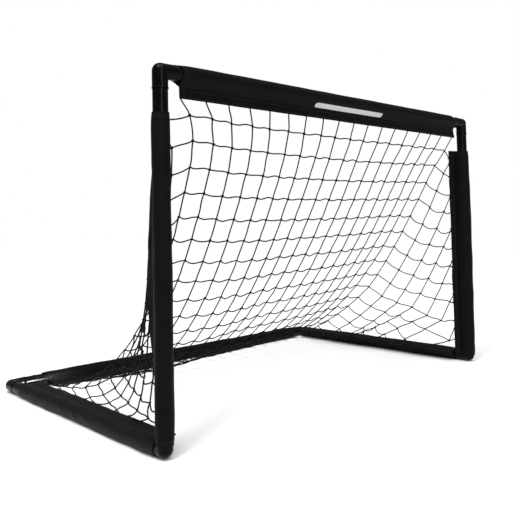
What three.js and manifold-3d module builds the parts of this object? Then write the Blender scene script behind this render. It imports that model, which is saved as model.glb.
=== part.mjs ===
// A small portable ice hockey goal: six steel tubes plugged onto six plastic elbows by spring
// buttons, six fabric sleeves slid over the tubes, and a net panel at the back and each side.
// Millimetres, +Z up, the goal mouth faces -Y, and the origin is on the floor under the middle.
import * as THREE from 'three';
import { mergeVertices } from 'three/addons/utils/BufferGeometryUtils.js';
import Module from 'manifold-3d';

const wasm = await Module();
wasm.setup();

// Driving dimensions.
const POST_SPACING = 870; // between the axes of the two posts
const BASE_DEPTH = 592; // from the post axes back to the rear bar's axis
const OVERALL_HEIGHT = 600; // floor to the top of the crossbar's sleeve
const TUBE_RADIUS = 12;
const TUBE_WALL = 1.2;
const SLEEVE_RADIUS = 14.6;
const SLEEVE_WALL = 0.8;
const PRESSED_FLAT = 0.4; // how much of a ground sleeve's underside the floor presses flat
const NET_THICKNESS = 3; // knots and slack strings, as one sheet

// Worked out from them.
const LEFT = -POST_SPACING / 2;
const RIGHT = POST_SPACING / 2;
const FRONT = -BASE_DEPTH / 2;
const REAR = BASE_DEPTH / 2;
const LOW = SLEEVE_RADIUS - PRESSED_FLAT;
const HIGH = OVERALL_HEIGHT - SLEEVE_RADIUS;

// Elbow, along each leg from the corner where the two tube axes meet.
const ELBOW = {
  radius: 12.4,
  lipRadius: 13.1,
  lipStart: 25,
  shoulder: 28,
  spigotRadius: 10.5,
  spigotEnd: 62,
  bore: 7.6,
};
const TUBE_GAP = 0.3; // between an elbow's shoulder and the end of its tube
const ROUND = 18; // sides on a round piece

// Spring button and its clip, inside each spigot.
const BUTTON = {
  station: 48, // from the corner
  radius: 3,
  holeRadius: 3.35,
  top: 13.3, // from the tube's axis
  armWidth: 7,
  armStart: 30,
  armEnd: 52,
  armOuter: 6.1,
  armInner: 5.3,
};
const CLIP = { bend: 29.6, armEnd: 54 };

// Sleeve section: a tube whose two edges meet in a stitched seam and run on as a flat flap.
const SEAM_OUTSIDE = 21;
const SEAM_INSIDE = 18.5;
const FLAP_HALF = 0.9;
const ARC_STEPS = 18;

const X = new THREE.Vector3(1, 0, 0);
const Y = new THREE.Vector3(0, 1, 0);
const Z = new THREE.Vector3(0, 0, 1);
const minus = (vector) => vector.clone().negate();
const tilted = (x, y, z) => new THREE.Vector3(x, y, z).normalize();

const corners = {
  top_left: new THREE.Vector3(LEFT, FRONT, HIGH),
  top_right: new THREE.Vector3(RIGHT, FRONT, HIGH),
  front_left: new THREE.Vector3(LEFT, FRONT, LOW),
  front_right: new THREE.Vector3(RIGHT, FRONT, LOW),
  rear_left: new THREE.Vector3(LEFT, REAR, LOW),
  rear_right: new THREE.Vector3(RIGHT, REAR, LOW),
};

// How far each sleeve's flap reaches from its tube's axis.
const POST_FLAP = 33;
const SIDE_FLAP = 34;
const REAR_FLAP = 44.8;
const CROSSBAR_FLAP = 38.5;

// Each bar runs from one corner to another. Its sleeve starts and ends at a distance from the
// first corner, and the sleeve's flap points at the net.
const bars = [
  {
    name: 'post_left',
    ends: { bottom: 'front_left', top: 'top_left' },
    buttonFaces: Y,
    sleeve: { start: 6.8, end: 506.8, flap: tilted(0.25, 0.97, 0), length: POST_FLAP },
  },
  {
    name: 'post_right',
    ends: { bottom: 'front_right', top: 'top_right' },
    buttonFaces: Y,
    sleeve: { start: 1.8, end: 501.8, flap: tilted(-0.5, 0.87, 0), length: POST_FLAP },
  },
  {
    name: 'crossbar',
    ends: { left: 'top_left', right: 'top_right' },
    buttonFaces: Y,
    sleeve: { start: 42, end: 838, flap: minus(Z), length: CROSSBAR_FLAP },
  },
  {
    name: 'side_bar_left',
    ends: { front: 'front_left', rear: 'rear_left' },
    buttonFaces: minus(X),
    sleeve: { start: 15.2, end: 526, flap: tilted(1, 0, 0.325), length: SIDE_FLAP },
  },
  {
    name: 'side_bar_right',
    ends: { front: 'front_right', rear: 'rear_right' },
    buttonFaces: X,
    sleeve: { start: 66, end: 562, flap: tilted(-1, 0, 0.325), length: SIDE_FLAP },
  },
  {
    name: 'rear_bar',
    ends: { left: 'rear_left', right: 'rear_right' },
    buttonFaces: Z,
    sleeve: { start: 70, end: 838, flap: tilted(0, -1, -0.295), length: REAR_FLAP },
  },
];

const materials = {
  elbow: { color: 0x0c0c0d, roughness: 0.22, metalness: 0 },
  tube: { color: 0x0b0b0c, roughness: 0.25, metalness: 0.3 },
  button: { color: 0xb9bbbd, roughness: 0.3, metalness: 1 },
  sleeve: { color: 0x111113, roughness: 0.6, metalness: 0 },
  net: { color: 0x0a0a0b, roughness: 0.7, metalness: 0 },
};

const goal = new THREE.Group();
goal.name = 'hockey_goal';

// Boolean solids from three.js geometry, and back.
function toSolid(geometry) {
  geometry.deleteAttribute('normal');
  geometry.deleteAttribute('uv');
  const merged = mergeVertices(geometry, 1e-4);
  const vertProperties = new Float32Array(merged.attributes.position.array);
  const triVerts = new Uint32Array(merged.index.array);
  return new wasm.Manifold(new wasm.Mesh({ numProp: 3, vertProperties, triVerts }));
}

function toGeometry(solid) {
  const mesh = solid.getMesh();
  const geometry = new THREE.BufferGeometry();
  geometry.setAttribute('position', new THREE.BufferAttribute(mesh.vertProperties, 3));
  geometry.setIndex(new THREE.BufferAttribute(mesh.triVerts, 1));
  geometry.computeVertexNormals();
  return geometry;
}

// Turns a piece drawn with +Y along its bar and +X to one side, as its bar runs.
function orient(geometry, along, side) {
  const basis = new THREE.Matrix4().makeBasis(side, along, side.clone().cross(along));
  return geometry.applyMatrix4(basis);
}

function add(name, finish, geometry, position = new THREE.Vector3()) {
  const mesh = new THREE.Mesh(geometry, new THREE.MeshStandardMaterial(materials[finish]));
  mesh.name = name;
  mesh.position.copy(position);
  goal.add(mesh);
}

function turned(profile, sides = ROUND) {
  return new THREE.LatheGeometry(profile.map(([radius, along]) => new THREE.Vector2(radius, along)), sides);
}

function anySide(along) {
  return Math.abs(along.z) > 0.5 ? X : Z;
}

// A round pin across a bar at the button's station, used to cut the button's hole.
function buttonHole(along, facing, station) {
  const hole = turned([[0, 4], [BUTTON.holeRadius, 4], [BUTTON.holeRadius, 16], [0, 16]], 16);
  orient(hole, facing, along);
  hole.translate(...along.clone().multiplyScalar(station).toArray());
  return toSolid(hole);
}

function elbow(legs) {
  let body = toSolid(new THREE.SphereGeometry(ELBOW.radius, ROUND, ROUND / 2));
  let hollow = toSolid(new THREE.SphereGeometry(ELBOW.bore, 16, 8));
  for (const leg of legs) {
    const outside = turned([
      [0, 0],
      [ELBOW.radius, 0],
      [ELBOW.radius, ELBOW.lipStart],
      [ELBOW.lipRadius, ELBOW.lipStart + 0.7],
      [ELBOW.lipRadius, ELBOW.shoulder],
      [ELBOW.spigotRadius, ELBOW.shoulder],
      [ELBOW.spigotRadius, ELBOW.spigotEnd - 1],
      [ELBOW.spigotRadius - 0.8, ELBOW.spigotEnd],
      [0, ELBOW.spigotEnd],
    ]);
    const past = ELBOW.spigotEnd + 5;
    const inside = turned([[0, 0], [ELBOW.bore, 0], [ELBOW.bore, past], [0, past]], 16);
    body = body.add(toSolid(orient(outside, leg.along, anySide(leg.along))));
    hollow = hollow.add(toSolid(orient(inside, leg.along, anySide(leg.along))));
    hollow = hollow.add(buttonHole(leg.along, leg.facing, BUTTON.station));
  }
  return toGeometry(body.subtract(hollow));
}

function tube(span, along, facing) {
  const start = ELBOW.shoulder + TUBE_GAP;
  const end = span - start;
  const inner = TUBE_RADIUS - TUBE_WALL;
  const wall = turned([
    [inner, start],
    [TUBE_RADIUS, start],
    [TUBE_RADIUS, end],
    [inner, end],
    [inner, start],
  ]);
  let solid = toSolid(orient(wall, along, anySide(along)));
  for (const station of [BUTTON.station, span - BUTTON.station]) {
    solid = solid.subtract(buttonHole(along, facing, station));
  }
  return toGeometry(solid);
}

// The part that travels: a domed pin riveted to the free end of the spring strip.
function snapButton(along, facing) {
  const pin = turned([
    [0, BUTTON.armInner + 0.2],
    [BUTTON.radius, BUTTON.armInner + 0.2],
    [BUTTON.radius, BUTTON.top - 1],
    [BUTTON.radius - 0.5, BUTTON.top - 0.4],
    [BUTTON.radius - 1.6, BUTTON.top],
    [0, BUTTON.top],
  ], 14);
  orient(pin, facing, along);
  pin.translate(...along.clone().multiplyScalar(BUTTON.station).toArray());
  const thickness = BUTTON.armOuter - BUTTON.armInner;
  const arm = new THREE.BoxGeometry(thickness, BUTTON.armEnd - BUTTON.armStart, BUTTON.armWidth);
  arm.translate(BUTTON.armInner + thickness / 2, (BUTTON.armStart + BUTTON.armEnd) / 2, 0);
  orient(arm, along, facing);
  return toGeometry(toSolid(pin).add(toSolid(arm)));
}

// The part that stays: the strip's other arm, against the bore's far wall, and its round bend.
function snapClip(along, facing) {
  const outline = new THREE.Shape();
  outline.moveTo(-BUTTON.armInner, CLIP.armEnd);
  outline.lineTo(-BUTTON.armOuter, CLIP.armEnd);
  outline.lineTo(-BUTTON.armOuter, CLIP.bend);
  outline.absarc(0, CLIP.bend, BUTTON.armOuter, Math.PI, 2 * Math.PI, false);
  outline.lineTo(BUTTON.armInner, CLIP.bend);
  outline.absarc(0, CLIP.bend, BUTTON.armInner, 2 * Math.PI, Math.PI, true);
  outline.closePath();
  const options = { depth: BUTTON.armWidth, bevelEnabled: false, curveSegments: 8 };
  const strip = new THREE.ExtrudeGeometry(outline, options);
  strip.translate(0, 0, -BUTTON.armWidth / 2);
  return orient(strip, along, facing);
}

// The round part of a sleeve's section, open towards the seam at +X.
function sleeveArc(radius, seam) {
  const opening = Math.acos(radius / seam);
  const points = [];
  for (let step = 0; step <= ARC_STEPS; step += 1) {
    const angle = opening + ((2 * Math.PI - 2 * opening) * step) / ARC_STEPS;
    points.push(new THREE.Vector2(radius * Math.cos(angle), radius * Math.sin(angle)));
  }
  return points;
}

function sleeveSection(flapLength) {
  const arc = sleeveArc(SLEEVE_RADIUS, SEAM_OUTSIDE);
  const slope = arc[0].y / (SEAM_OUTSIDE - arc[0].x);
  const flapStart = SEAM_OUTSIDE - FLAP_HALF / slope;
  const section = new THREE.Shape([
    ...arc,
    new THREE.Vector2(flapStart, -FLAP_HALF),
    new THREE.Vector2(flapLength, -FLAP_HALF),
    new THREE.Vector2(flapLength, FLAP_HALF),
    new THREE.Vector2(flapStart, FLAP_HALF),
  ]);
  const inside = [...sleeveArc(SLEEVE_RADIUS - SLEEVE_WALL, SEAM_INSIDE), new THREE.Vector2(SEAM_INSIDE, 0)];
  section.holes.push(new THREE.Path(inside));
  return section;
}

// What lies below the floor, seen from a ground bar's axis.
function floorBlock() {
  const block = new THREE.BoxGeometry(3 * POST_SPACING, 3 * POST_SPACING, 40);
  block.translate(0, 0, -LOW - 20);
  return toSolid(block);
}

// Room for the elbow's rearward leg at the foot of a post's sleeve, seen from the corner.
function legNotch() {
  const top = 15.5;
  const block = new THREE.BoxGeometry(44, 44, 2 * top);
  block.translate(0, 26, 0);
  return toSolid(block);
}

function sleeve({ start, end, flap, length }, along) {
  const options = { depth: end - start, bevelEnabled: false };
  const extruded = new THREE.ExtrudeGeometry(sleeveSection(length), options);
  extruded.rotateX(-Math.PI / 2);
  extruded.translate(0, start, 0);
  const solid = toSolid(orient(extruded, along, flap));
  const isPost = along.z > 0.5;
  const isOnFloor = !isPost && flap.z > -0.9;
  if (isPost) return toGeometry(solid.subtract(legNotch()));
  return toGeometry(isOnFloor ? solid.subtract(floorBlock()) : solid);
}

// Side section of the back panel, as distance behind the posts and height: it hangs in a slack
// curve from the crossbar's flap, touches down, and runs along the floor to the rear flap.
const NET_TOP = HIGH - CROSSBAR_FLAP - 1.2;
const NET_FLOOR = 2.2;
const TOUCH_DOWN = 537;
const NET_END = BASE_DEPTH - 43.6;
const hanging = new THREE.CubicBezierCurve(
  new THREE.Vector2(0, NET_TOP),
  new THREE.Vector2(31, 496),
  new THREE.Vector2(186, 48),
  new THREE.Vector2(TOUCH_DOWN, NET_FLOOR),
);
const LYING_SHARE = (NET_END - TOUCH_DOWN) / (NET_END - TOUCH_DOWN + hanging.getLength());

function netProfile(share) {
  const lying = share - (1 - LYING_SHARE);
  if (lying < 0) return hanging.getPointAt(share / (1 - LYING_SHARE));
  return new THREE.Vector2(THREE.MathUtils.lerp(TOUCH_DOWN, NET_END, lying / LYING_SHARE), NET_FLOOR);
}

// The back panel's side edges at the crossbar and at the rear bar. Between them the slack
// strings draw each edge inward by up to its waist.
const NET_EDGES = {
  left: { top: -393, rear: -362, waist: 50 },
  right: { top: 392, rear: 396, waist: -50 },
};

function netEdge({ top, rear, waist }, down) {
  return THREE.MathUtils.lerp(top, rear, down) + waist * (1 - (2 * down - 1) ** 4);
}

function backPoint(across, down) {
  const { x: depth, y: height } = netProfile(down);
  const x = THREE.MathUtils.lerp(netEdge(NET_EDGES.left, down), netEdge(NET_EDGES.right, down), across);
  return new THREE.Vector3(x, FRONT + depth, height);
}

// A side panel spans from the back panel's edge to the flaps of its post and its side bar.
const SIDE_NETS = {
  left: { outward: -1, postEdge: [426.3, 34], postTop: 518, rearEnd: REAR - 66 },
  right: { outward: 1, postEdge: [417.2, 31], postTop: 513, rearEnd: REAR - 51 },
};

function sidePoint({ outward, postEdge: [aside, behind], postTop, rearEnd }, along, out) {
  const edge = backPoint(outward < 0 ? 0 : 1, 0.02 + 0.965 * along);
  edge.x += outward * 2.2;
  const top = new THREE.Vector3(outward * aside, FRONT + behind, postTop);
  const foot = new THREE.Vector3(outward * 409, FRONT + 40, 36);
  const rear = new THREE.Vector3(outward * 399, rearEnd, 25.5);
  const flapEdge = along < 0.5 ? top.lerp(foot, 2 * along) : foot.lerp(rear, 2 * along - 1);
  return edge.lerp(flapEdge, out);
}

// A closed sheet of even thickness on the surface that point(u, v) gives: a segmented box bent
// onto it.
function sheet(point, columns, rows, thickness) {
  const geometry = new THREE.BoxGeometry(1, 1, 1, columns, rows, 1);
  const position = geometry.attributes.position;
  const step = 1e-3;
  for (let index = 0; index < position.count; index += 1) {
    const u = position.getX(index) + 0.5;
    const v = position.getY(index) + 0.5;
    const [u0, u1] = [Math.max(0, u - step), Math.min(1, u + step)];
    const [v0, v1] = [Math.max(0, v - step), Math.min(1, v + step)];
    const acrossU = point(u1, v).sub(point(u0, v));
    const acrossV = point(u, v1).sub(point(u, v0));
    const normal = acrossU.cross(acrossV).normalize();
    const place = point(u, v).addScaledVector(normal, position.getZ(index) * thickness);
    position.setXYZ(index, place.x, place.y, place.z);
  }
  return toGeometry(toSolid(geometry));
}

function buildBars() {
  for (const { name, ends, buttonFaces, sleeve: cover } of bars) {
    const [[firstEnd, firstCorner], [lastEnd, lastCorner]] = Object.entries(ends);
    const from = corners[firstCorner];
    const to = corners[lastCorner];
    const along = to.clone().sub(from).normalize();
    add(`tube_${name}`, 'tube', tube(from.distanceTo(to), along, buttonFaces), from);
    add(`sleeve_${name}`, 'sleeve', sleeve(cover, along), from);
    for (const [end, corner, inward] of [[firstEnd, from, along], [lastEnd, to, minus(along)]]) {
      add(`snap_button_${name}_${end}`, 'button', snapButton(inward, buttonFaces), corner);
      add(`snap_clip_${name}_${end}`, 'button', snapClip(inward, buttonFaces), corner);
    }
  }
}

function buildElbows() {
  for (const [name, corner] of Object.entries(corners)) {
    const legs = bars
      .filter(({ ends }) => Object.values(ends).includes(name))
      .map(({ ends, buttonFaces }) => {
        const other = Object.values(ends).find((end) => end !== name);
        return { along: corners[other].clone().sub(corner).normalize(), facing: buttonFaces };
      });
    add(`elbow_${name}`, 'elbow', elbow(legs), corner);
  }
}

function buildNets() {
  add('net_back', 'net', sheet((u, v) => backPoint(1 - u, v), 6, 20, NET_THICKNESS));
  add('net_side_left', 'net', sheet((u, v) => sidePoint(SIDE_NETS.left, u, v), 12, 4, NET_THICKNESS));
  add('net_side_right', 'net', sheet((u, v) => sidePoint(SIDE_NETS.right, 1 - u, v), 12, 4, NET_THICKNESS));
}

buildElbows();
buildBars();
buildNets();

export default goal;
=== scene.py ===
"""The looks of a small knock-down hockey goal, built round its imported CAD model. Metres."""
import math

import bpy
import numpy as np
from mathutils import Matrix, Vector


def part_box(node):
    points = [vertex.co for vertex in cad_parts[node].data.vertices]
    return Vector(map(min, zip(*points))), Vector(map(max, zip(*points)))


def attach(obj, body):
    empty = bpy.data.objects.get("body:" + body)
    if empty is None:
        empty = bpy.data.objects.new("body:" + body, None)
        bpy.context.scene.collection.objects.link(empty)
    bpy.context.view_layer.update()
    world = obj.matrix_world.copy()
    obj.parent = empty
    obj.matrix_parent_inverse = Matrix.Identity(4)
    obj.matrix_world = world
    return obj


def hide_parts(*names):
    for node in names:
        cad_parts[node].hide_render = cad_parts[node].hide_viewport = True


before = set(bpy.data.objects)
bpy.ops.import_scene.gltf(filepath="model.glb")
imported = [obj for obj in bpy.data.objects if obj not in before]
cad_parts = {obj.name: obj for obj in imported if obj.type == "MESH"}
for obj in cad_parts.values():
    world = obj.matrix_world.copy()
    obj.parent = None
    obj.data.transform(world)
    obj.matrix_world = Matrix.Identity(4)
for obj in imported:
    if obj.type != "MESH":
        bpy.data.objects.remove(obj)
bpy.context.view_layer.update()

MM = 0.001
BODY = "goal_frame"

# Camera, as found for the photograph: its place, what it looks along, and its lens.
CAMERA_PLACE = Vector((-0.9714, -1.1306, 0.3472))
CAMERA_YAW = math.radians(44.9)  # from +Y towards +X
CAMERA_PITCH = math.radians(2.59)
CAMERA_ROLL = math.radians(1.34)
CAMERA_LENS = 44.24  # millimetres, on a sensor 36 mm wide
CAMERA_SHIFT = (-0.0755, -0.1267)  # in widths of the picture

# Cloth of the sleeves.
CLOTH = 0.7 * MM  # thickness
THREAD = 0.55 * MM  # from one thread of the weave to the next
FLAP_GAP = 0.1 * MM  # between a flap's middle and each of its two layers
SLEEVE_RADIUS = 14.25 * MM  # of the cloth's middle, before it is rumpled
SLEEVE_SMALLEST = 13.55 * MM  # it clears the rings of the elbows inside it
SEAM = 19.8 * MM  # from the tube's axis to where the two layers are sewn together
HEM = 9 * MM  # from the end of a sleeve to its row of stitches and doubled edge
RING_STEP = 4 * MM  # between the rings of points along a sleeve
SHARP = math.radians(60)  # edges that turn further than this aren't shaded smooth
WAVES = 1.3 * MM  # how far a flap's edge swings to each side
UNEVEN_CUT = 0.6 * MM  # how far a cut end runs in and out
LEAN_FADES = 45 * MM  # how far along the bar the lean of a cut end is felt
POKE_FADES = 40 * MM  # how far along the bar a back layer that hangs out is felt
PRINT_THICKNESS = 0.2 * MM
STRIPE = {"length": 205 * MM, "height": 11 * MM, "from_flap_edge": 26.5 * MM}
STITCH = {"length": 2.9 * MM, "pitch": 3.9 * MM, "radius": 0.3 * MM, "sides": 6}

# Twine of the net.
TWINE_RADIUS = 1.25 * MM
TWINE_SIDES = 6
TWINE_STEP = 6 * MM
TWIST_PITCH = 2.4 * MM
KNOT_SIZE = 2.0 * MM

# Each sleeve: the side its flap is on, how far the flap reaches from the axis, how rumpled the
# cloth is, and how far its rows of stitching are from the flap's edge. "ends" says how far each
# end's cut is shifted along the bar, on the far side of the tube and at the flap's edge. Some
# sleeves turn round the tube towards their ends ("twist"), stand off it in the middle ("loose"),
# have a back layer that hangs out at the start ("back_pokes_out"), or have a flap that narrows part
# of the way along. The side bars, which lie face up on the floor, are given a paler cloth by the
# last key of their entries: painted light, standing in for the light that falls on them from
# above. Millimetres, but for "flap" and "twist".
SLEEVES = {
    "post_left": {
        "flap": (-0.15, 0.99, 0), "reach": 33, "rumple": 0.9, "rows": (3.2, 9),
        "ends": ((0, 0), (-1, 2.5)), "twist": math.radians(-36),
    },
    "post_right": {
        "flap": (-0.5, 0.87, 0), "reach": 33, "rumple": 1.0, "rows": (3.2, 9),
        "ends": ((0, 0), (-1, 2.5)), "loose": 1.8,
    },
    "crossbar": {
        "flap": (0, 0, -1), "reach": 38.5, "rumple": 0.5, "rows": (2.6, 13.6),
        "ends": ((-9, -6), (-19, -1)), "back_pokes_out": 20,
    },
    "side_bar_left": {
        "flap": (1, 0, 0.325), "reach": 34, "rumple": 2.0, "rows": (2.4, 5.6, 10.8),
        "ends": ((-1.5, 3.4), (1, -2.5)), "painted_lighter": True,
    },
    "side_bar_right": {
        "flap": (-1, 0, 0.325), "reach": 34, "rumple": 1.3, "rows": (2.4, 5.6, 10.8),
        "ends": ((-32, -32), (1, -1.7)), "painted_lighter": True,
    },
    "rear_bar": {
        "flap": (0, -1, -0.295), "reach": 44.8, "rumple": 1.2, "rows": (3.2, 12),
        "ends": ((-3, 16), (-1, 2)), "narrows": {"to": 27, "over": (230, 360)},
    },
}


# ---------------------------------------------------------------- helpers

def new_mesh_object(name, vertices, faces, material):
    mesh = bpy.data.meshes.new(name)
    mesh.from_pydata(vertices.tolist(), [], faces)
    mesh.shade_smooth()
    mesh.materials.append(material)
    made = bpy.data.objects.new(name, mesh)
    bpy.context.scene.collection.objects.link(made)
    return made


def set_uv(made, uv):
    """One UV pair for each vertex."""
    layer = made.data.uv_layers.new(name="cloth")
    corners = np.zeros(len(made.data.loops), np.int32)
    made.data.loops.foreach_get("vertex_index", corners)
    layer.data.foreach_set("uv", np.asarray(uv, np.float32)[corners].ravel())


def unit(vectors):
    vectors = np.asarray(vectors, float)
    length = np.linalg.norm(vectors, axis=-1, keepdims=True)
    return vectors / np.maximum(length, 1e-12)


def eased(share):
    """Runs from 0 to 1 with a gentle start and end."""
    return share * share * (3 - 2 * share)


def tube_faces(base, levels, sides, closed=False):
    """The faces of a tube whose points are in rings, with capped ends unless it is closed."""
    count = levels * sides
    faces = []
    for level in range(levels if closed else levels - 1):
        for step in range(sides):
            a, b = level * sides + step, level * sides + (step + 1) % sides
            c, d = (b + sides) % count, (a + sides) % count
            faces.append((base + a, base + b, base + c, base + d))
    if not closed:
        faces.append(tuple(base + step for step in reversed(range(sides))))
        faces.append(tuple(base + count - sides + step for step in range(sides)))
    return faces


def soft_noise(a, b, seed):
    """Smooth noise from -1 to 1 over the plane (a, b), one cell to a unit."""
    table = np.random.default_rng(seed).uniform(-1, 1, (64, 64))
    ia, ib = np.floor(a).astype(int), np.floor(b).astype(int)
    fa, fb = eased(a - ia), eased(b - ib)
    near = table[ia % 64, ib % 64] * (1 - fb) + table[ia % 64, (ib + 1) % 64] * fb
    far = table[(ia + 1) % 64, ib % 64] * (1 - fb) + table[(ia + 1) % 64, (ib + 1) % 64] * fb
    return near * (1 - fa) + far * fa


# ---------------------------------------------------------------- materials

class Shader:
    """A Principled material and the nodes that give it its detail."""

    def __init__(self, name, **constants):
        self.material = bpy.data.materials.new(name)
        self.material.use_nodes = True
        self.tree = self.material.node_tree
        self.bsdf = self.tree.nodes["Principled BSDF"]
        for socket, value in constants.items():
            self.bsdf.inputs[socket.replace("_", " ")].default_value = value

    def add(self, kind, inputs=None, **settings):
        node = self.tree.nodes.new("ShaderNode" + kind)
        for key, value in settings.items():
            setattr(node, key, value)
        for socket, value in (inputs or {}).items():
            if isinstance(value, bpy.types.NodeSocket):
                self.tree.links.new(value, node.inputs[socket])
            else:
                node.inputs[socket].default_value = value
        return node

    def uv(self):
        """UV as two values: across the cloth and along it, or round the twine and along it."""
        return self.add("SeparateXYZ", {"Vector": self.coordinates("UV")}).outputs[:2]

    def coordinates(self, kind="Object", stretch=(1, 1, 1)):
        source = self.add("TexCoord").outputs[kind]
        return self.add("Mapping", {"Vector": source, "Scale": stretch}).outputs["Vector"]

    def noise(self, vector, scale, detail=3.0):
        inputs = {"Vector": vector, "Scale": scale, "Detail": detail}
        return self.add("TexNoise", inputs).outputs["Fac"]

    def math(self, operation, *values):
        return self.add("Math", dict(enumerate(values)), operation=operation).outputs[0]

    def remap(self, value, low, high, start=0.0, end=1.0):
        inputs = {"Value": value, "From Min": start, "From Max": end, "To Min": low, "To Max": high}
        return self.add("MapRange", inputs).outputs["Result"]

    def tint(self, factor, dark, light):
        """Mixes the base colour. A Mix node has sockets for every type: its colours are at 6 and 7,
        and their result at 2."""
        node = self.add("Mix", {0: factor, 6: (*dark, 1), 7: (*light, 1)}, data_type="RGBA")
        self.plug(node.outputs[2], "Base Color")

    def plug(self, output, socket):
        self.tree.links.new(output, self.bsdf.inputs[socket])

    def bump(self, height, distance, strength=1.0):
        node = self.add("Bump", {"Height": height, "Distance": distance, "Strength": strength})
        self.plug(node.outputs["Normal"], "Normal")


def gloss_plastic():
    shader = Shader("gloss_plastic", IOR=1.5, Specular_IOR_Level=0.07)
    place = shader.coordinates()
    cloudy = shader.noise(place, 120, 4)
    fine = shader.noise(place, 1400, 2)
    shader.tint(cloudy, (0.001, 0.001, 0.0011), (0.0028, 0.0028, 0.003))
    shader.plug(shader.remap(cloudy, 0.13, 0.26), "Roughness")
    shader.bump(fine, 0.012 * MM)
    return shader.material


def painted_metal():
    shader = Shader("painted_metal", IOR=1.5, Specular_IOR_Level=0.08)
    place = shader.coordinates()
    cloudy = shader.noise(place, 60, 4)
    orange_peel = shader.noise(place, 900, 1)
    shader.tint(cloudy, (0.001, 0.001, 0.0011), (0.0026, 0.0026, 0.0028))
    shader.plug(shader.remap(cloudy, 0.16, 0.3), "Roughness")
    shader.bump(orange_peel, 0.02 * MM)
    return shader.material


def spring_steel():
    """Blackened steel, worn brighter where it rubs."""
    shader = Shader("spring_steel", Metallic=1.0)
    place = shader.coordinates(stretch=(1, 1, 14))
    grain = shader.noise(place, 900, 3)
    shader.tint(grain, (0.03, 0.03, 0.032), (0.11, 0.11, 0.115))
    shader.plug(shader.remap(grain, 0.2, 0.42), "Roughness")
    shader.bump(grain, 0.01 * MM)
    return shader.material


def woven_cloth(name, dark, light):
    """Plain weave: each thread stands over one crossing and under the next."""
    shader = Shader(name, Specular_IOR_Level=0.06, Sheen_Weight=0.012, Sheen_Roughness=0.3)
    across, along = shader.uv()
    rate = math.pi / THREAD
    warp = shader.math("SINE", shader.math("MULTIPLY", across, rate))
    weft = shader.math("SINE", shader.math("MULTIPLY", along, rate))
    threads = shader.math("ABSOLUTE", shader.math("MULTIPLY", warp, weft))
    place = shader.coordinates()
    patchy = shader.noise(place, 35, 4)
    fuzz = shader.noise(place, 2600, 2)
    weave = shader.math(
        "ADD",
        shader.math("MULTIPLY", threads, 0.7),
        shader.math("MULTIPLY", fuzz, 0.5),
    )
    shader.tint(shader.math("MULTIPLY", weave, patchy), dark, light)
    shader.plug(shader.remap(patchy, 0.46, 0.62), "Roughness")
    shader.bump(weave, 0.09 * MM, 0.6)
    return shader.material


def twisted_twine():
    """The twist's ridges run round the twine at a slant: UV goes round it once, then along it."""
    shader = Shader("twisted_twine", Specular_IOR_Level=0.05, Sheen_Weight=0.01, Sheen_Roughness=0.4)
    around, along = shader.uv()
    slant = shader.math(
        "ADD",
        shader.math("MULTIPLY", around, 4 * math.pi),
        shader.math("MULTIPLY", along, 2 * math.pi / TWIST_PITCH),
    )
    ridges = shader.math("ABSOLUTE", shader.math("SINE", slant))
    fibres = shader.noise(shader.coordinates(), 3000, 2)
    height = shader.math("ADD", ridges, shader.math("MULTIPLY", fibres, 0.4))
    shader.tint(height, (0.001, 0.001, 0.001), (0.005, 0.005, 0.0053))
    shader.plug(shader.remap(fibres, 0.5, 0.7), "Roughness")
    shader.bump(height, 0.12 * MM, 0.7)
    return shader.material


def sewing_thread():
    shader = Shader("sewing_thread", Specular_IOR_Level=0.25, Sheen_Weight=0.05)
    fibres = shader.noise(shader.coordinates(), 4000, 2)
    shader.tint(fibres, (0.005, 0.005, 0.0055), (0.02, 0.02, 0.021))
    shader.plug(shader.remap(fibres, 0.4, 0.6), "Roughness")
    shader.bump(fibres, 0.05 * MM)
    return shader.material


def stripe_print():
    """Pale ink on cloth, worn thin in places."""
    shader = Shader("stripe_print", Specular_IOR_Level=0.2)
    place = shader.coordinates()
    worn = shader.noise(place, 260, 5)
    fine = shader.noise(place, 2400, 2)
    shader.tint(worn, (0.38, 0.38, 0.38), (0.62, 0.62, 0.62))
    shader.plug(shader.remap(fine, 0.5, 0.7), "Roughness")
    shader.bump(fine, 0.05 * MM)
    return shader.material


def pale_floor():
    shader = Shader("pale_floor", Roughness=0.7)
    place = shader.coordinates()
    shader.tint(shader.noise(place, 3, 2), (0.9, 0.9, 0.9), (0.92, 0.92, 0.92))
    shader.bump(shader.noise(place, 400, 2), 0.02 * MM)
    return shader.material


# ---------------------------------------------------------------- sleeves

def bar_axis(name):
    """Where a bar's sleeve starts on its tube's axis, the direction of the bar, and its length."""
    low, high = (np.array(corner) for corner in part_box(f"tube_{name}"))
    size = high - low
    direction = np.zeros(3)
    direction[int(np.argmax(size))] = 1.0
    middle = (low + high) / 2
    low, high = (np.array(corner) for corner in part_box(f"sleeve_{name}"))
    start = middle + direction * (low - middle).dot(direction)
    return start, direction, float((high - low).dot(direction))


def sleeve_section(reach):
    """The middle of the cloth, from one edge of the flap round the tube to its other edge, as
    distances along the flap's direction and across it."""
    off = CLOTH / 2 + FLAP_GAP
    leaves_tube = math.acos(SLEEVE_RADIUS / SEAM)
    angles = np.linspace(leaves_tube, math.pi, 17)
    arc = SLEEVE_RADIUS * np.stack([np.cos(angles), np.sin(angles)], 1)
    seam = np.array([SEAM, off])
    slope = np.linspace(seam, arc[0], 5)[1:-1]
    flap = np.linspace([reach, off], seam, 7)
    half = np.concatenate([flap, slope, arc])
    other = half[-2::-1] * [1, -1]
    return np.concatenate([half, other])


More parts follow.
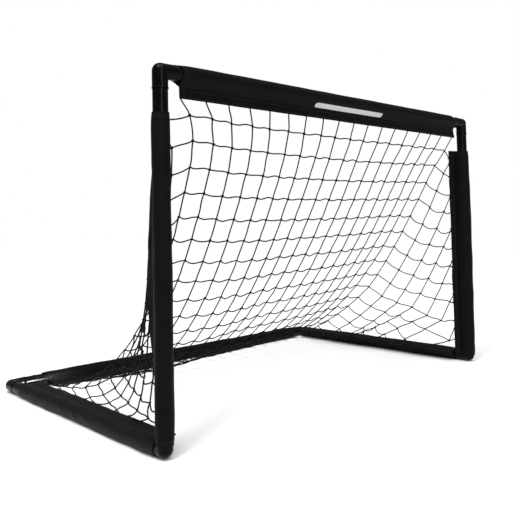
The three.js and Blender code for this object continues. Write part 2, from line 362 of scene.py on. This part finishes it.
class Sleeve:
    """The surface of one sleeve. A place on it is (across, along): how far round the section from
    one edge of the flap, and how far along the bar, both in metres."""

    def __init__(self, name, seed):
        self.name, self.seed = name, seed
        self.facts = SLEEVES[name]
        self.start, self.direction, self.length = bar_axis(name)
        flap = unit(np.array(self.facts["flap"], float))
        self.flap, self.side = flap, np.cross(self.direction, flap)
        self.section = sleeve_section(self.facts["reach"] * MM)
        steps = np.linalg.norm(np.diff(self.section, axis=0), axis=1)
        self.developed = np.concatenate([[0], np.cumsum(steps)])

    def width(self):
        return float(self.developed[-1])

    def cut_length(self):
        """The length of the cloth, with what the shifts of its two ends add to the CAD's length."""
        start, end = (sum(cut) / 2 * MM for cut in self.facts["ends"])
        return self.length + end - start

    def cut_area(self):
        """The flat area: both layers of the flap narrow together."""
        reach = self.reach(np.linspace(0, self.length, 200)).mean()
        cut_away = self.facts["reach"] * MM - reach
        return self.width() * self.cut_length() - 2 * cut_away * self.cut_length()

    def reach(self, along):
        """How far the flap's edge is from the tube's axis. One flap narrows part of the way along."""
        widest = self.facts["reach"] * MM
        if "narrows" not in self.facts:
            return np.full_like(along, widest)
        start, end = (limit * MM for limit in self.facts["narrows"]["over"])
        share = eased(np.clip((along - start) / (end - start), 0, 1))
        return widest + (self.facts["narrows"]["to"] * MM - widest) * share

    def from_end(self, along):
        return np.maximum(np.minimum(along, self.length - along), 0)

    def towards_middle(self, along):
        """Runs from 0 at both ends of the sleeve to 1 in the middle."""
        return np.sin(math.pi * np.clip(along / self.length, 0, 1))

    def rumpled(self, across, along):
        """How far the cloth stands off its plain section, outward."""
        folds = soft_noise(along / 0.034 + across / 0.03, across / 0.021, self.seed)
        creases = soft_noise(along / 0.05 - across / 0.04, across / 0.016, self.seed + 1)
        ridges = 0.7 - 2 * np.abs(creases)
        slow = soft_noise(along / 0.12, across / 0.05, self.seed + 2)
        return self.facts["rumple"] * MM * (0.5 * folds + 0.45 * ridges + 0.5 * slow)

    def waves(self, share, along):
        """How far the flap's edge swings sideways: share is 1 at the edge and 0 at the seam."""
        swing = soft_noise(along / 0.06, 0 * along, self.seed + 3)
        swing = swing + 0.4 * soft_noise(along / 0.022, 0 * along + 5, self.seed + 3)
        return WAVES * share ** 1.5 * swing

    def section_at(self, across, along):
        """The rumpled section: distances along the flap's direction and across it."""
        forward = np.interp(across, self.developed, self.section[:, 0])
        sideways = np.interp(across, self.developed, self.section[:, 1])
        share = np.clip((forward - SEAM) / (self.facts["reach"] * MM - SEAM), 0, 1)
        forward = np.minimum(forward, SEAM) + share * (self.reach(along) - SEAM)
        radius = np.hypot(forward, sideways)
        round_part = np.clip((SEAM - forward) / (6 * MM), 0, 1)
        drawn_in = np.exp(-((self.from_end(along) / (8 * MM)) ** 2))
        full = self.facts.get("loose", 0) * MM * self.towards_middle(along)
        wanted = radius + (self.rumpled(across, along) + full - 1.2 * MM * drawn_in) * round_part
        least = np.where(round_part > 0, SLEEVE_SMALLEST - 0.6 * MM * drawn_in, 0)
        wanted = np.maximum(wanted, least)
        return forward * wanted / radius, sideways * wanted / radius + self.waves(share, along)

    def end_shift(self, across, along, forward, sideways):
        """How the cut of each end leans and runs uneven, as a shift along the bar."""
        at_start = along < self.length / 2
        end = self.from_end(along)
        share = (forward + SLEEVE_RADIUS) / (self.facts["reach"] * MM + SLEEVE_RADIUS)
        cuts = [far + (near - far) * share for far, near in self.facts["ends"]]
        cut = np.where(at_start, *cuts) * MM * np.exp(-end / LEAN_FADES)
        which_end = np.where(at_start, 1.0, 9.0)
        uneven = UNEVEN_CUT * soft_noise(across / 0.012, which_end, self.seed + 4)
        behind = np.clip(sideways / (12 * MM), 0, 1) * np.clip(1.4 - 1.4 * share, 0, 1) * at_start
        poke = -self.facts.get("back_pokes_out", 0) * MM * behind * np.exp(-end / POKE_FADES)
        return cut + uneven * np.exp(-end / (12 * MM)) + poke

    def point(self, across, along):
        """The middle of the cloth. across and along are arrays of one shape, in metres."""
        forward, sideways = self.section_at(across, along)
        moved = along + self.end_shift(across, along, forward, sideways)
        turn = self.facts.get("twist", 0) * (1 - self.towards_middle(along))
        turned_forward = forward * np.cos(turn) - sideways * np.sin(turn)
        turned_sideways = forward * np.sin(turn) + sideways * np.cos(turn)
        return (
            self.start
            + moved[..., None] * self.direction
            + turned_forward[..., None] * self.flap
            + turned_sideways[..., None] * self.side
        )

    def flap_edge(self, along):
        """Where a string comes out between the two layers of the flap, at one place on the bar."""
        both = np.array([1 * MM, self.width() - 1 * MM])
        return self.point(both, np.full(2, float(along))).mean(0)

    def along_at(self, place):
        """How far along the sleeve a point is."""
        along = (place - self.start).dot(self.direction)
        return float(np.clip(along, 1 * MM, self.length - 1 * MM))

    def normal(self, across, along):
        """Straight out of the cloth's outer face."""
        step = 0.3 * MM
        inside = np.clip(across, step, self.width() - step)
        du = self.point(inside + step, along) - self.point(inside - step, along)
        dv = self.point(inside, along + step) - self.point(inside, along - step)
        return unit(np.cross(du, dv))

    def thickness(self, along):
        """The cloth is doubled at the hem of each end."""
        end = np.minimum(along, self.length - along)
        return CLOTH * np.where(end < HEM, 1.5, 1.0)


def on_floor(points, least):
    points[..., 2] = np.maximum(points[..., 2], least)
    return points


def sleeve_stations(length):
    """Along the bar: close together at each hem's edge and step, and evenly between."""
    hem = np.array([0, 0.4 * MM, 3 * MM, 6 * MM, HEM - 0.3 * MM, HEM + 0.3 * MM])
    count = max(2, round((length - 2 * HEM) / RING_STEP))
    middle = np.linspace(HEM + RING_STEP, length - HEM - RING_STEP, count)
    return np.concatenate([hem, middle, length - hem[::-1]])


def closed_skin(outside, inside):
    """The vertices and faces of a thin closed piece, from matching grids of its two sides. Each
    ring runs along the outside and back along the inside; the first and last rings are capped."""
    rings, around = outside.shape[:2]
    vertices = np.concatenate([outside, inside[:, ::-1]], axis=1).reshape(-1, 3)
    count = 2 * around
    faces = []
    for ring in range(rings - 1):
        for step in range(count):
            a, b = ring * count + step, ring * count + (step + 1) % count
            faces.append((a, b, b + count, a + count))
    for base, turn in ((0, -1), ((rings - 1) * count, 1)):
        for step in range(around - 1):
            across = base + count - 1 - step
            faces.append((base + step, base + step + 1, across - 1, across)[::turn])
    return vertices, faces


def build_sleeve(name, seed, cloth):
    surface = Sleeve(name, seed)
    stations = sleeve_stations(surface.length)
    corners = np.arange(len(surface.developed))
    halved = np.linspace(0, corners[-1], 2 * len(corners) - 1)
    across, along = np.meshgrid(np.interp(halved, corners, surface.developed), stations)
    middle, normal = surface.point(across, along), surface.normal(across, along)
    half = surface.thickness(along)[..., None] / 2
    outside = on_floor(middle + normal * half, 0.3 * MM)
    inside = on_floor(middle - normal * half, 0.3 * MM + CLOTH)
    made = new_mesh_object(f"cloth_{name}", *closed_skin(outside, inside), cloth)
    made.data.set_sharp_from_angle(angle=SHARP)
    uv_across = np.concatenate([across, across[:, ::-1]], axis=1)
    uv_along = np.concatenate([along, along], axis=1)
    set_uv(made, np.stack([uv_across, uv_along], -1).reshape(-1, 2))
    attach(made, BODY)
    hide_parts(f"sleeve_{name}")
    return made, surface


def build_stripe(surface, material):
    """A plain stripe printed on the front of the crossbar's sleeve, with round ends."""
    middle = surface.length / 2
    stations = middle + STRIPE["length"] / 2 * np.sin(np.linspace(-math.pi / 2, math.pi / 2, 81))
    from_end = STRIPE["length"] / 2 - np.abs(stations - middle)
    radius = STRIPE["height"] / 2
    short_of_round = 1 - np.minimum(from_end / radius, 1)
    half_height = np.sqrt(np.clip(1 - short_of_round ** 2, 0.01, 1)) * radius
    share = np.linspace(-1, 1, 9)[None]
    across = surface.width() - STRIPE["from_flap_edge"] + share * half_height[:, None]
    along = np.repeat(stations[:, None], 9, 1)
    place, normal = surface.point(across, along), surface.normal(across, along)
    top, sunk = CLOTH / 2 + PRINT_THICKNESS, CLOTH / 2 - PRINT_THICKNESS / 2
    skin = closed_skin(place + normal * top, place + normal * sunk)
    made = new_mesh_object("printed_stripe", *skin, material)
    made.data.set_sharp_from_angle(angle=SHARP)
    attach(made, BODY)
    return made


def stitches(start, end):
    """Where each stitch of a row begins and ends."""
    begins = np.arange(start, end - STITCH["length"], STITCH["pitch"])
    return np.stack([begins, begins + STITCH["length"]], 1)


def build_stitching(surface, thread):
    """Rows of stitches on both faces of the flap, and one round each hem."""
    rows = []
    for row in surface.facts["rows"]:
        for across in (row * MM, surface.width() - row * MM):
            along = stitches(2 * MM, surface.length - 2 * MM)
            rows.append((np.full_like(along, across), along))
    for along in (HEM - 2 * MM, surface.length - HEM + 2 * MM):
        across = stitches(4 * MM, surface.width() - 4 * MM)
        rows.append((across, np.full_like(across, along)))
    points = np.concatenate([surface.point(*row) for row in rows])
    normals = np.concatenate([surface.normal(*row) for row in rows])
    return build_beads(f"stitching_{surface.name}", points, normals, thread)


def build_beads(name, points, normals, thread):
    """Each stitch is a short bead with tucked-in ends, half sunk in the cloth."""
    shares = np.array([0, 0.12, 0.5, 0.88, 1])
    swell = np.array([0.35, 0.85, 1.0, 0.85, 0.35])
    angles = np.linspace(0, 2 * math.pi, STITCH["sides"], endpoint=False)
    a, b = points[:, :1], points[:, 1:]
    up = unit(normals.sum(1))[:, None]
    middle = a + (b - a) * shares[None, :, None] + up * CLOTH * 0.62
    side = unit(np.cross(b - a, up))
    ring = (
        np.cos(angles)[None, None, :, None] * side[:, :, None]
        + np.sin(angles)[None, None, :, None] * up[:, :, None]
    )
    rings = middle[:, :, None] + STITCH["radius"] * swell[None, :, None, None] * ring
    count, levels, sides = rings.shape[:3]
    vertices = on_floor(rings.reshape(-1, 3), 0.1 * MM)
    faces = []
    for stitch in range(count):
        faces += [face[::-1] for face in tube_faces(stitch * levels * sides, levels, sides)]
    made = new_mesh_object(name, vertices, faces, thread)
    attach(made, BODY)
    return made


# ---------------------------------------------------------------- net

# The net is cut and hung in millimetres. Its knots are named (row, column): rows run down from
# the crossbar, columns run from left to right, and those below 0 or above 17 are in the side
# panels.
COLUMNS = 17
MESH_ACROSS = 41.25
MESH_DOWN = 45.1
FIRST_MESH = 34.9  # from the crossbar's flap down to the first row
PANEL_LENGTH = 820.9  # from the crossbar's flap to the rear bar's
TIED_ALONG = {"crossbar": (-393, 392), "rear_bar": (-360, 398)}  # x of the outermost ties
HANGS_BACK = 60  # how far the back panel starts behind and below a straight line
SMALLEST_MESH = 8  # a shorter piece of string isn't left between a knot and a tie
SPARE_ROWS = 3  # the first rows' end strings are longer than they need to be
BORDER_SLACK = 1.004
LOOSE_LOOP = 1.12  # the slack of each border's first string

# How each side panel is cut. It is "start" wide at the top. Down to "foot", where the post ends, it
# grows by "widens" for each millimetre, on average, and faster lower down if "curve" is above 1.
# Then it narrows to "end". The first rows' end strings have some to spare. "post" and "bar" are
# where the first and last ties are: heights on the post, and y on the side bar. Strings are tied
# round the edge of the post's flap above "loops_above", and inside the flap below it.
SIDE_CUTS = {
    -1: {
        "start": 31.3, "widens": 0.495, "curve": 1.15, "foot": 571, "end": 20.2, "spare": 13,
        "post": (538, 29), "bar": (-273, 257), "loops_above": 440,
    },
    1: {
        "start": 17.3, "widens": 0.506, "curve": 1.0, "foot": 486, "end": 18.3, "spare": 5,
        "post": (532, 52), "bar": (-205, 265), "loops_above": 90,
    },
}
STIFFNESS = 2.37  # how hard a slack string pulls its knots together, against the net's weight
SHORTEST = 0.8  # of its length, before a string's stiffness resists being bunched up
STEPS = 400
PASSES = 12


class Net:
    """The knots and strings of the three panels, first as cut, then as they hang."""

    def __init__(self, sleeves):
        self.index, self.places, self.pinned, self.strings = {}, [], [], []
        self.sleeves = sleeves
        marks = np.arange(FIRST_MESH, PANEL_LENGTH - SMALLEST_MESH, MESH_DOWN)
        self.rows = [0.0, *marks.tolist(), PANEL_LENGTH]
        self.last = len(self.rows) - 1
        self.lay_out_back()
        for side in SIDE_CUTS:
            SidePanel(self, side)

    def knot(self, name, place, pinned=False):
        self.index[name] = len(self.places)
        self.places.append(np.array(place, float))
        self.pinned.append(pinned)

    def tied(self, name, bar, place):
        """A knot held by the flap of a bar's sleeve, level with a place."""
        sleeve = self.sleeves[bar]
        edge = sleeve.flap_edge(sleeve.along_at(np.asarray(place) * MM)) / MM
        edge[2] = max(edge[2], 1.6)
        self.knot(name, edge, True)

    def string(self, a, b, length, panel):
        self.strings.append((self.index[a], self.index[b], length, panel))

    def lay_out_back(self):
        ties = (np.linspace(*ends, COLUMNS + 1) for ends in TIED_ALONG.values())
        for column, (top, end) in enumerate(zip(*ties)):
            self.tied((0, column), "crossbar", (top, 0, 0))
            self.tied((self.last, column), "rear_bar", (end, 0, 0))
            top, end = (self.places[self.index[(row, column)]] for row in (0, self.last))
            for row in range(1, self.last):
                share = self.rows[row] / PANEL_LENGTH
                fallen = HANGS_BACK * math.sin(math.pi * share)
                place = top * (1 - share) + end * share - [0, fallen, fallen]
                place[2] = max(place[2], 3)
                self.knot((row, column), place)
        for row in range(self.last + 1):
            for column in range(COLUMNS + 1):
                if row < self.last:
                    cut = self.rows[row + 1] - self.rows[row]
                    self.string((row, column), (row + 1, column), cut, "back")
                if column < COLUMNS and 0 < row < self.last:
                    self.string((row, column), (row, column + 1), MESH_ACROSS, "back")

    def hang(self):
        """Lets the net fall, its strings pulling when tight and pushing a little when bowed."""
        place = np.array(self.places)
        free = ~np.array(self.pinned)
        ends = np.array([(a, b) for a, b, _, _ in self.strings])
        cut = np.array([length for _, _, length, _ in self.strings])
        groups = separate(ends, cut, free)
        speed = np.zeros_like(place)
        for step in range(STEPS):
            speed *= 0.98 if step < 0.6 * STEPS else 0.9
            weight = 1.0 if step < 0.7 * STEPS else 0.3
            speed[free, 2] -= weight
            speed[free] += bowed_pull(place, ends, cut, weight)[free]
            before = place.copy()
            place[free] += speed[free]
            for _ in range(PASSES):
                for group in groups:
                    shorten(place, *group)
                place[free, 2] = np.maximum(place[free, 2], 2)
            speed = place - before
            speed[free & (place[:, 2] < 2.01)] *= 0.2
        self.places = place


class SidePanel:
    """A side panel is a triangle: it widens from the top down to the foot of the post, and narrows
    again to the rear. Its edges are tied to the post's flap and the side bar's."""

    def __init__(self, net, side):
        self.net, self.side, self.cut = net, side, SIDE_CUTS[side]
        self.hand = "left" if side < 0 else "right"
        self.name = "side_" + self.hand
        self.first = 0 if side < 0 else COLUMNS
        self.foot = self.cut["foot"]
        self.widest = self.cut["start"] + self.foot * self.cut["widens"]
        self.narrows = (self.widest - self.cut["end"]) / (PANEL_LENGTH - self.foot)
        self.ties = []
        self.hang_columns()
        for row in range(1, net.last):
            self.hang_row(row)
        self.run_border()

    def width(self, down):
        if down < self.foot:
            grown = (down / self.foot) ** self.cut["curve"]
            return self.cut["start"] + (self.widest - self.cut["start"]) * grown
        return self.cut["end"] + (PANEL_LENGTH - down) * self.narrows

    def limits(self, reach):
        """How far down the panel is first and last as wide as this."""
        share = max(reach - self.cut["start"], 0) / (self.widest - self.cut["start"])
        ends = PANEL_LENGTH - (reach - self.cut["end"]) / self.narrows
        return self.foot * share ** (1 / self.cut["curve"]), ends

    def tie(self, name, down):
        if down < self.foot:
            top, low = self.cut["post"]
            height = top + (low - top) * max(down, 0) / self.foot
            self.net.tied(name, "post_" + self.hand, (0, 0, height))
        else:
            start, end = self.cut["bar"]
            place = start + (end - start) * (down - self.foot) / (PANEL_LENGTH - self.foot)
            self.net.tied(name, "side_bar_" + self.hand, (0, place, 0))
        self.ties.append((down, name))

    def hang_columns(self):
        wide = 1
        while wide * MESH_ACROSS < self.widest - SMALLEST_MESH:
            begins, ends = self.limits(wide * MESH_ACROSS)
            rows = [
                row for row in range(1, self.net.last)
                if begins + SMALLEST_MESH < self.net.rows[row] < ends - SMALLEST_MESH
            ]
            if not rows:
                break
            self.hang_column(self.first + self.side * wide, begins, ends, rows)
            wide += 1

    def hang_column(self, column, begins, ends, rows):
        net = self.net
        self.tie(("post", column), begins)
        self.tie(("bar", column), min(ends, PANEL_LENGTH))
        top, low = (net.places[net.index[(end, column)]] for end in ("post", "bar"))
        for row in rows:
            share = (net.rows[row] - begins) / (ends - begins)
            place = top * (1 - share) + low * share
            place[2] = max(3, place[2] - 40 * math.sin(math.pi * share))
            net.knot((row, column), place)
        for row in rows[:-1]:
            length = net.rows[row + 1] - net.rows[row]
            net.string((row, column), (row + 1, column), length, self.name)
        first, last = rows[0], rows[-1]
        net.string(("post", column), (first, column), net.rows[first] - begins, self.name)
        net.string((last, column), ("bar", column), ends - net.rows[last], self.name)

    def hang_row(self, row):
        net, wide = self.net, 0
        while (row, self.first + self.side * (wide + 1)) in net.index:
            inner, outer = self.first + self.side * wide, self.first + self.side * (wide + 1)
            net.string((row, inner), (row, outer), MESH_ACROSS, self.name)
            wide += 1
        spare = self.cut["spare"] if row <= SPARE_ROWS else 0
        edge = ("edge", self.side, row)
        self.tie(edge, net.rows[row])
        left_over = max(self.width(net.rows[row]) - wide * MESH_ACROSS, 10) + spare
        net.string((row, self.first + self.side * wide), edge, left_over, self.name)

    def run_border(self):
        """The panel's edge string, which runs from one tied knot to the next with a little slack."""
        net = self.net
        names = [name for _, name in sorted(self.ties, key=lambda item: item[0])]
        for number, (first, second) in enumerate(zip(names, names[1:])):
            a, b = (net.places[net.index[name]] for name in (first, second))
            span = float(np.linalg.norm(b - a))
            slack = LOOSE_LOOP if number == 0 else BORDER_SLACK
            if 12 < span < 90:
                net.string(first, second, span * slack, self.name)


def separate(ends, cut, free):
    """Groups of strings that share no knot, so that each group can be worked on at once."""
    used, colours = {}, []
    for a, b in ends:
        taken = used.setdefault(a, set()) | used.setdefault(b, set())
        colour = next(c for c in range(99) if c not in taken)
        used[a].add(colour)
        used[b].add(colour)
        colours.append(colour)
    groups = []
    for colour in range(max(colours) + 1):
        chosen = np.array(colours) == colour
        a, b = ends[chosen].T
        share_a, share_b = free[a].astype(float), free[b].astype(float)
        both = share_a + share_b
        keep = both > 0
        shares = [(share / np.maximum(both, 1))[keep, None] for share in (share_a, share_b)]
        groups.append((a[keep], b[keep], *shares, cut[chosen][keep]))
    return groups


def shorten(place, a, b, share_a, share_b, cut):
    """Draws knots together where a string is too long, or eases them apart where it is bunched."""
    between = place[b] - place[a]
    length = np.maximum(np.sqrt((between * between).sum(1)), 1e-6)
    excess = np.maximum(length - cut, 0) + 0.2 * np.minimum(length - SHORTEST * cut, 0)
    between *= (excess / length)[:, None]
    place[a] += between * share_a
    place[b] -= between * share_b


def bowed_pull(place, ends, cut, weight):
    """A slack string hangs in a shallow curve, and pulls its two knots together."""
    between = place[ends[:, 1]] - place[ends[:, 0]]
    length = np.maximum(np.sqrt((between * between).sum(1)), 1e-6)
    slack = np.maximum(cut / length - 1, 2e-3)
    tension = STIFFNESS * 0.25 * weight / (4 * np.sqrt(0.375 * slack))
    tension = np.where(length < cut, np.minimum(tension, 2 * weight), 0)
    pull = between * (tension / length)[:, None]
    total = np.zeros_like(place)
    np.add.at(total, ends[:, 0], pull)
    np.add.at(total, ends[:, 1], -pull)
    return total


class Twine:
    """Collects tubes of twine, and makes one mesh of them."""

    def __init__(self):
        self.vertices, self.faces, self.uv, self.count = [], [], [], 0

    def tube(self, path, radius=TWINE_RADIUS, closed=False, sides=TWINE_SIDES):
        """A tube along a path of points, with flat ends, or in a ring if it is closed."""
        path = np.asarray(path, float)
        if closed:
            tangent = unit(np.roll(path, -1, 0) - np.roll(path, 1, 0))
        else:
            tangent = unit(np.gradient(path, axis=0))
        side = frames_along(tangent)
        up = np.cross(tangent, side)
        turn = np.linspace(0, 2 * math.pi, sides, endpoint=False)
        ring = np.cos(turn)[None, :, None] * side[:, None] + np.sin(turn)[None, :, None] * up[:, None]
        points = path[:, None] + radius * ring
        along = np.concatenate([[0], np.cumsum(np.linalg.norm(np.diff(path, axis=0), axis=1))])
        levels = len(path)
        self.faces += tube_faces(self.count, levels, sides, closed)
        self.vertices.append(points.reshape(-1, 3))
        around = np.tile(np.arange(sides) / sides, levels)
        self.uv.append(np.stack([around, np.repeat(along, sides)], 1))
        self.count += levels * sides

    def make(self, name, material):
        made = new_mesh_object(name, np.concatenate(self.vertices), self.faces, material)
        set_uv(made, np.concatenate(self.uv))
        return made


def frames_along(tangent):
    """A sideways direction at each point that doesn't twist from one to the next."""
    least = np.eye(3)[int(np.argmin(np.abs(tangent[0])))]
    side = [unit(np.cross(tangent[0], least))]
    for direction in tangent[1:]:
        carried = side[-1] - direction * side[-1].dot(direction)
        side.append(unit(carried))
    return np.array(side)


def string_path(a, b, cut, rng):
    """One string between two knots: it bows down by its slack, or sideways where it lies on the
    floor, and keeps a slight wave from being knotted."""
    span = np.linalg.norm(b - a)
    count = max(5, round(cut / (TWINE_STEP / MM)) + 1)
    t = np.linspace(0, 1, count)
    slack = max(cut / max(span, 1) - 1, 0.0)
    sag = span * math.sqrt(0.375 * min(slack, 0.35))
    level = 1 - abs((b - a)[2]) / max(span, 1)
    lying = float(np.clip(1 - max(a[2], b[2]) / 12, 0, 1))
    down = np.array([0, -lying, lying - 1]) * (0.35 + 0.65 * level)
    sideways = rng.normal(size=3)
    sideways -= (b - a) * sideways.dot(b - a) / span ** 2
    sideways = unit(sideways)
    lean = unit(down + sideways * rng.uniform(0.1, 0.9))
    bow = 4 * t * (1 - t)
    wave = np.sin(2 * math.pi * t)
    path = a + (b - a) * t[:, None]
    path += lean * (sag * bow)[:, None]
    path += down * (rng.uniform(0.6, 2.0) * level * wave)[:, None]
    path += sideways * (rng.uniform(-0.6, 0.6) * wave + rng.uniform(-0.7, 0.7) * bow)[:, None]
    path[:, 2] = np.maximum(path[:, 2], TWINE_RADIUS / MM + 0.2)
    return path


def knot_path(place, across, down, rng):
    """The turns of one sheet bend, drawn tight: a closed path round the crossing."""
    t = np.linspace(0, 2 * math.pi, 22, endpoint=False)
    tilt = rng.uniform(0, 2 * math.pi)
    size = KNOT_SIZE / MM * rng.uniform(0.85, 1.15)
    out = unit(np.cross(across, down))
    x = (np.sin(t + tilt) + 1.6 * np.sin(2 * t)) / 2.3
    y = (np.cos(t + tilt) - 1.6 * np.cos(2 * t)) / 2.3
    z = -np.sin(3 * t) * 0.42
    path = place + size * (
        x[:, None] * unit(across) + y[:, None] * unit(down) + z[:, None] * out
    )
    path[:, 2] = np.maximum(path[:, 2], TWINE_RADIUS / MM + 0.1)
    return path


def tie_path(place, outward, along):
    """The loop that ties a string to a post's flap: through it, and round its edge."""
    t = np.linspace(0, 2 * math.pi, 16, endpoint=False)
    face = unit(np.cross(outward, along))
    half_long, half_wide = 4.6, 2.3
    return place + (
        (np.cos(t) * half_long - 1.5)[:, None] * unit(outward)
        + (np.sin(t) * half_wide)[:, None] * face
        + (0.5 * np.sin(2 * t))[:, None] * unit(along)
    )


def build_net(material, sleeves):
    net = Net(sleeves)
    net.hang()
    panels = {"back": Twine(), "side_left": Twine(), "side_right": Twine()}
    rng = np.random.default_rng(7)
    for a, b, cut, panel in net.strings:
        path = string_path(net.places[a], net.places[b], cut, rng)
        panels[panel].tube(path * MM)
    for name, number in net.index.items():
        place = net.places[number]
        if not net.pinned[number]:
            path = knot_path(place, *crossing(net, number), rng)
            panels[panel_of(name[1])].tube(path * MM, 0.85 * TWINE_RADIUS, True, 5)
        elif name[0] != 0 and place[2] > lowest_loop(place):
            hand = "left" if place[0] < 0 else "right"
            path = loop_round_flap(place, sleeves["post_" + hand])
            panels["side_" + hand].tube(path * MM, 0.8 * TWINE_RADIUS, True, 5)
    for panel, twine in panels.items():
        made = twine.make(f"netting_{panel}", material)
        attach(made, BODY)
        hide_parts(f"net_{panel}")


def loop_round_flap(place, sleeve):
    outward = place * MM - sleeve.start
    outward -= outward.dot(sleeve.direction) * sleeve.direction
    return tie_path(place, outward, sleeve.direction)


def lowest_loop(place):
    """The height below which strings are tied inside the flap, with no loop round its edge."""
    return SIDE_CUTS[-1 if place[0] < 0 else 1]["loops_above"]


def panel_of(column):
    if 0 <= column <= COLUMNS:
        return "back"
    return "side_left" if column < 0 else "side_right"


def crossing(net, number):
    """The ways the two strings run that cross at a knot."""
    near = [b if a == number else a for a, b, _, _ in net.strings if number in (a, b)]
    spread = [net.places[n] - net.places[number] for n in near]
    across = max(spread, key=lambda way: abs(way[0]))
    down = min(spread, key=lambda way: abs(unit(way).dot(unit(across))))
    return across, down


# ---------------------------------------------------------------- frame, stage and camera

def finish_cad_pieces(materials):
    """Gives each CAD piece that shows its material, and rounds its edges."""
    for name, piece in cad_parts.items():
        kind = next((k for k in materials if name.startswith(k)), None)
        if kind is None:
            continue
        for slot in piece.material_slots:
            slot.material = materials[kind]
        piece.data.shade_smooth()
        piece.modifiers.new("join corners", "WELD").merge_threshold = 0.01 * MM
        round_off = piece.modifiers.new("round edges", "BEVEL")
        round_off.width, round_off.segments = 0.25 * MM, 2
        round_off.limit_method, round_off.angle_limit = "ANGLE", math.radians(40)
        piece.modifiers.new("even shading", "WEIGHTED_NORMAL").keep_sharp = True


def build_floor():
    bpy.ops.mesh.primitive_plane_add(size=40, location=(0, 0, -0.0002))
    floor = bpy.context.object
    floor.name = "floor"
    floor.data.materials.append(pale_floor())


def add_light(name, place, target, size, power, spread=180):
    data = bpy.data.lights.new(name, "AREA")
    data.spread = math.radians(spread)
    data.shape = "RECTANGLE"
    data.size, data.size_y = size
    data.energy = power
    light = bpy.data.objects.new(name, data)
    light.location = place
    light.rotation_euler = (Vector(target) - Vector(place)).to_track_quat("-Z", "Y").to_euler()
    bpy.context.scene.collection.objects.link(light)


def build_lights():
    """A white backdrop that lights the goal less than it shows, a soft sun and three lamps. The
    front right one is a narrow beam, for the gleam on the bare tube at the rear left."""
    bpy.context.scene.view_settings.view_transform = "Standard"
    world = bpy.data.worlds.new("studio")
    world.use_nodes = True
    nodes, links = world.node_tree.nodes, world.node_tree.links
    rays, choose = nodes.new("ShaderNodeLightPath"), nodes.new("ShaderNodeMapRange")
    choose.inputs["To Min"].default_value = 0.3
    choose.inputs["To Max"].default_value = 1.0
    links.new(rays.outputs["Is Camera Ray"], choose.inputs["Value"])
    links.new(choose.outputs["Result"], nodes["Background"].inputs["Strength"])
    nodes["Background"].inputs["Color"].default_value = (1, 1, 1, 1)
    bpy.context.scene.world = world
    add_sun((-0.3, -0.35, 1), 3.1, math.radians(70))
    add_light("upper_left", (-1.36, -0.75, 2.53), (-0.435, -0.296, 0.585), (0.3, 0.3), 20)
    add_light("front_right", (0.343, -1.444, 0.795), (-0.4, 0.29, 0.02), (0.06, 0.12), 0.24, 5)
    add_light("low_right", (-0.62, -2.3, 0.9), (-0.435, -0.296, 0.4), (0.1, 0.9), 7)


def add_sun(towards, strength, spread):
    data = bpy.data.lights.new("soft_sun", "SUN")
    data.energy, data.angle = strength, spread
    sun = bpy.data.objects.new("soft_sun", data)
    sun.rotation_euler = Vector(towards).to_track_quat("Z", "Y").to_euler()
    bpy.context.scene.collection.objects.link(sun)


def build_camera():
    data = bpy.data.cameras.new("camera")
    data.sensor_width, data.lens = 36, CAMERA_LENS
    data.shift_x, data.shift_y = CAMERA_SHIFT
    data.clip_start, data.clip_end = 0.05, 60
    camera = bpy.data.objects.new("camera", data)
    forward = Vector((
        math.sin(CAMERA_YAW) * math.cos(CAMERA_PITCH),
        math.cos(CAMERA_YAW) * math.cos(CAMERA_PITCH),
        math.sin(CAMERA_PITCH),
    ))
    right = forward.cross(Vector((0, 0, 1))).normalized()
    turned = Matrix.Rotation(CAMERA_ROLL, 3, forward)
    right, up = turned @ right, turned @ right.cross(forward)
    axes = Matrix((right, up, -forward)).transposed()
    camera.matrix_world = Matrix.Translation(CAMERA_PLACE) @ axes.to_4x4()
    bpy.context.scene.collection.objects.link(camera)
    bpy.context.scene.camera = camera


def build_sleeves():
    cloth = woven_cloth("woven_cloth", (0.001, 0.001, 0.0011), (0.0062, 0.0062, 0.0066))
    # A paler copy of the cloth, painted light: it stands in for the light from above on the side bars
    # lying face up.
    painted_lighter = woven_cloth("painted_lighter_cloth", (0.0035, 0.0035, 0.0036), (0.0155, 0.0155, 0.016))
    thread = sewing_thread()
    sleeves = {}
    for seed, name in enumerate(SLEEVES):
        # The side bars take the paler copy of the cloth, painted light for their upward faces.
        material = painted_lighter if "painted_lighter" in SLEEVES[name] else cloth
        made, surface = build_sleeve(name, 10 * seed, material)
        sewn_on = [build_stitching(surface, thread)]
        if name == "crossbar":
            sewn_on.append(build_stripe(surface, stripe_print()))
        surface.width()
        surface.cut_length()
        surface.cut_area()
        sleeves[name] = surface
    return sleeves


build_camera()
build_floor()
build_lights()
finish_cad_pieces({
    "elbow": gloss_plastic(),
    "tube": painted_metal(),
    "snap": spring_steel(),
})
build_net(twisted_twine(), build_sleeves())
